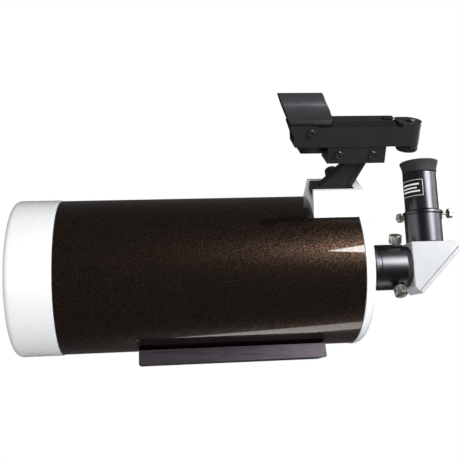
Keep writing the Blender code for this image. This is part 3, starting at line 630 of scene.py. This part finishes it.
def finder_cradle():
    side = [(49.9, 148.6), (54.2, 138), (55.2, 129.7), (159, 129.7), (159, 149.8), (150.5, 149.8),
            (150.5, 147.2), (76, 147.2), (72, 149.6), (52, 149.6)]
    cuts = [block((40, -9.4, 133.5), (149, 9.4, 160)), block((145, -4.4, 134), (166, 4.4, 144.5)),
            put(cylinder(15.9, 30, 92, 96), HOOD_AXIS), put(cylinder(2.8, 120, 155, 32), ALTITUDE_AXIS),
            put(cylinder(3.1, 125, 136, 32), AZIMUTH_AXIS)]
    rear = put(cylinder(11.98, 129.5, 149.8, 96), shift(159, 0, 0))
    add("cradle_moulding", carved(prism(side, -12, 12, SIDE_ON), cuts, [rear]), MOULDING, "finder_cradle",
        FINDER, ["finder_frame"], 0.4, 2)
    disc = [(121.2, 0), (121.2, 2.4), (124.2, 2.4), (124.2, 10), (125.2, 11.2), (128.2, 11.2), (129.2, 10.2),
            (129.2, 2.8), (133, 2.8), (133, 0)]
    add("azimuth_wheel", lathe(disc, 160, 0.3, (32, 0.4, 125, 128.4)), SATIN_BLACK, "azimuth_adjuster",
        FINDER @ AZIMUTH_AXIS, ["finder_azimuth_knob"])
    wheel = [(122.4, 0), (122.4, 8.7), (123.4, 9.7), (127.2, 9.7), (127.8, 9.1), (127.8, 2.5), (147, 2.5),
             (147, 0)]
    add("altitude_wheel", lathe(wheel, 160, 0.3, (32, 0.4, 123.2, 127.4)), SATIN_BLACK, "altitude_adjuster",
        FINDER @ ALTITUDE_AXIS, ["finder_altitude_knob"])
    cap = [(147.3, 0), (147.3, 2.5), (150.1, 2.5), (150.1, 4), (151.6, 4), (151.6, 0)]
    slot_cut = block((-5, -0.5, 150.9), (5, 0.5, 153))
    add("altitude_screw_cap", carved(lathe(cap, 48, 0.4), [slot_cut]), BLACK_STEEL, "altitude_adjuster",
        FINDER @ ALTITUDE_AXIS, ["finder_altitude_cap"])


def finder_sight():
    side = [(59, 137), (147, 137), (147, 148), (143.5, 152), (60, 152)]
    cuts = [put(cylinder(15.3, 30, 88, 96), HOOD_AXIS),
            put(cylinder(1.8, -14, 14, 32), TILT_AXIS),
            put(cylinder(3.2, 132, 146, 32), ALTITUDE_AXIS),
            put(cylinder(8.3, 130, 143.7, 48), shift(112, 0, 0)),
            put(cylinder(1.8, 80, 94, 24), shift(0, 0, 149.5) @ EAST),
            block((134.5, -1.8, 149), (145.5, 1.8, 156))]
    tail = block((144, -4, 137.8), (165, 4, 140.8))
    add("sight_body", carved(prism(side, -9, 9, SIDE_ON), cuts, [tail]), SATIN_BLACK, "finder_sight", FINDER,
        ["finder_body"], 0.4, 2)
    outline = [(39.2, 176), (53, 144), (87, 144), (86.2, 156), (83, 164), (79.6, 171), (78.6, 176)]
    tube = put(lathe([(30, 13.2), (30, 14.88), (95, 14.88), (95, 13.2)], 128, 0), HOOD_AXIS)
    hood = add("sight_hood", carved(tube, keep=prism(outline, -17, 17, SIDE_ON)), (HOOD_BLACK, MATT_BLACK),
               "finder_sight", FINDER, ["finder_hood"], 0.3, 2)
    paint_inside(hood, FINDER @ HOOD_AXIS, 13.6)
    window = [(-1, 0), (-1, 12.9), (1, 12.9), (1, 0)]
    add("sight_window", lathe(window, 96, 0.2), SIGHT_GLASS, "finder_sight",
        FINDER @ shift(61, 0, HOOD_HEIGHT) @ turn(78, "Y"), ["finder_window"])
    ribs = [block((136.8 + 1.7 * i, -5, 153.1), (137.4 + 1.7 * i, 5, 154.4)) for i in range(4)]
    stem = block((139.5, -1.4, 149.4), (141.5, 1.4, 153))
    slider = carved(block((135.5, -4, 152.3), (144.5, 4, 153.5)), ribs, [stem])
    add("switch_slider", slider, SATIN_BLACK, "power_switch", FINDER, ["finder_switch"],
        0.25, 2)


def inner_pieces():
    refinish(CORK, "corrector_gasket", "diagonal_pad")
    refinish(SILVERED, "diagonal_mirror")
    refinish(MACHINED, "mirror_carrier", "dovetail_backing_strip", "finder_battery")
    refinish(BRASS, "focus_bush")
    refinish(NICKEL, "focus_screw", "shoe_screw_front", "shoe_screw_rear")
    refinish(MATT_BLACK, "lens_spacer")
    refinish(SIGHT_GLASS, "finder_led")


# ---------------------------------------------------------------- studio

FLOOR_REACH = 1.0            # metres, as are the other lengths in this section
FLOOR_HEIGHT = -0.45
ROOM_GLOW = 0.065            # how strongly the white room lights the telescope
CAMERA_PLACE = (-0.06008, -0.63981, -0.02782)
CAMERA_PAN, CAMERA_PITCH, CAMERA_ROLL = -5.723, 13.545, -2.756
CAMERA_LENS = 52.67          # millimetres, on a sensor 36 wide


def floor_paper():
    """White paper that fades out well away from the telescope, so that it meets the background unseen."""
    paper = grained("floor_paper", (0.86, 0.86, 0.86), 0.8, grain=300, vary=0.01)
    shader = paper.node_tree.nodes["Principled BSDF"]
    place = node(paper, "ShaderNodeTexCoord")
    away = node(paper, "ShaderNodeVectorMath")
    away.operation = "LENGTH"
    link(paper, place.outputs["Object"], away.inputs[0])
    link(paper, spread(paper, away.outputs["Value"], 1, 0, 0.15, 0.9 * FLOOR_REACH), shader.inputs["Alpha"])
    return paper


def studio():
    floor_shape = bmesh.new()
    bmesh.ops.create_grid(floor_shape, x_segments=1, y_segments=1, size=FLOOR_REACH)
    floor_mesh = bpy.data.meshes.new("floor")
    floor_shape.to_mesh(floor_mesh)
    floor_shape.free()
    floor_mesh.materials.append(floor_paper())
    floor = bpy.data.objects.new("floor", floor_mesh)
    floor.location = (0, 0, FLOOR_HEIGHT)
    floor.visible_glossy = False
    bpy.context.scene.collection.objects.link(floor)

    world = bpy.data.worlds.new("studio")
    bpy.context.scene.world = world
    world.use_nodes = True
    bpy.context.scene.view_settings.view_transform = "Standard"
    nodes, links = world.node_tree.nodes, world.node_tree.links
    nodes.clear()
    seen = nodes.new("ShaderNodeBackground")
    seen.inputs["Color"].default_value = (1, 1, 1, 1)
    seen.inputs["Strength"].default_value = 1.0
    fill = nodes.new("ShaderNodeBackground")
    fill.inputs["Color"].default_value = (1, 0.97, 0.95, 1)
    fill.inputs["Strength"].default_value = ROOM_GLOW
    rays = nodes.new("ShaderNodeLightPath")
    mix = nodes.new("ShaderNodeMixShader")
    output = nodes.new("ShaderNodeOutputWorld")
    links.new(rays.outputs["Is Camera Ray"], mix.inputs["Fac"])
    links.new(fill.outputs["Background"], mix.inputs[1])
    links.new(seen.outputs["Background"], mix.inputs[2])
    links.new(mix.outputs["Shader"], output.inputs["Surface"])


def lamp(name, location, target, size, power, roll=0, mirrored=True):
    """A soft box of some width and height, facing target. A fill isn't mirrored in glossy surfaces."""
    light = bpy.data.lights.new(name, "AREA")
    light.shape = "RECTANGLE"
    light.size, light.size_y = size
    light.energy = power
    lit = bpy.data.objects.new(name, light)
    facing = (Vector(target) - Vector(location)).to_track_quat("-Z", "Y").to_matrix().to_4x4()
    lit.matrix_world = Matrix.Translation(location) @ facing @ turn(roll, "Z")
    lit.visible_camera = False
    lit.visible_glossy = mirrored
    bpy.context.scene.collection.objects.link(lit)


def lights():
    aim = (0.02, 0, 0.085)
    lamp("key_box", (0.77, -0.98, 0.46), (0.08, -0.07, 0.085), (0.68, 0.68), 18, 45)
    lamp("right_box", (1.45, -0.35, 0.35), (0.2, 0, 0.12), (0.8, 0.9), 6)
    lamp("left_fill", (-1.5, -0.9, 0.75), aim, (0.8, 0.8), 10, mirrored=False)
    lamp("low_fill", (-0.4, -1.1, -0.35), aim, (0.9, 0.5), 6.5, mirrored=False)
    lamp("top_strip", (0.85, -0.1, 1.2), aim, (0.8, 0.12), 1.2)
    lamp("low_strip", (0.21, 0.12, -0.43), (0.13, 0, 0.05), (0.7, 0.12), 0.55)
    lamp("back_left", (-1.2, 1.1, 0.5), aim, (0.9, 0.9), 15, mirrored=False)
    lamp("back_right", (1.2, 1.1, 0.5), aim, (0.9, 0.9), 13)


def camera():
    """The view of the reference: low and slightly to the left, looking up at the tube."""
    seen = bpy.data.cameras.new("camera")
    seen.sensor_width = 36
    seen.lens = CAMERA_LENS
    eye = bpy.data.objects.new("camera", seen)
    aim = turn(CAMERA_PAN, "Z") @ turn(90 + CAMERA_PITCH, "X") @ turn(CAMERA_ROLL, "Z")
    eye.matrix_world = Matrix.Translation(CAMERA_PLACE) @ aim
    bpy.context.scene.collection.objects.link(eye)
    bpy.context.scene.camera = eye


optical_tube()
rear_cell()
fasteners()
bar_and_shoe()
star_diagonal()
eyepiece()
eyepiece_label()
finder_bracket()
finder_cradle()
finder_sight()
inner_pieces()
studio()
lights()
camera()
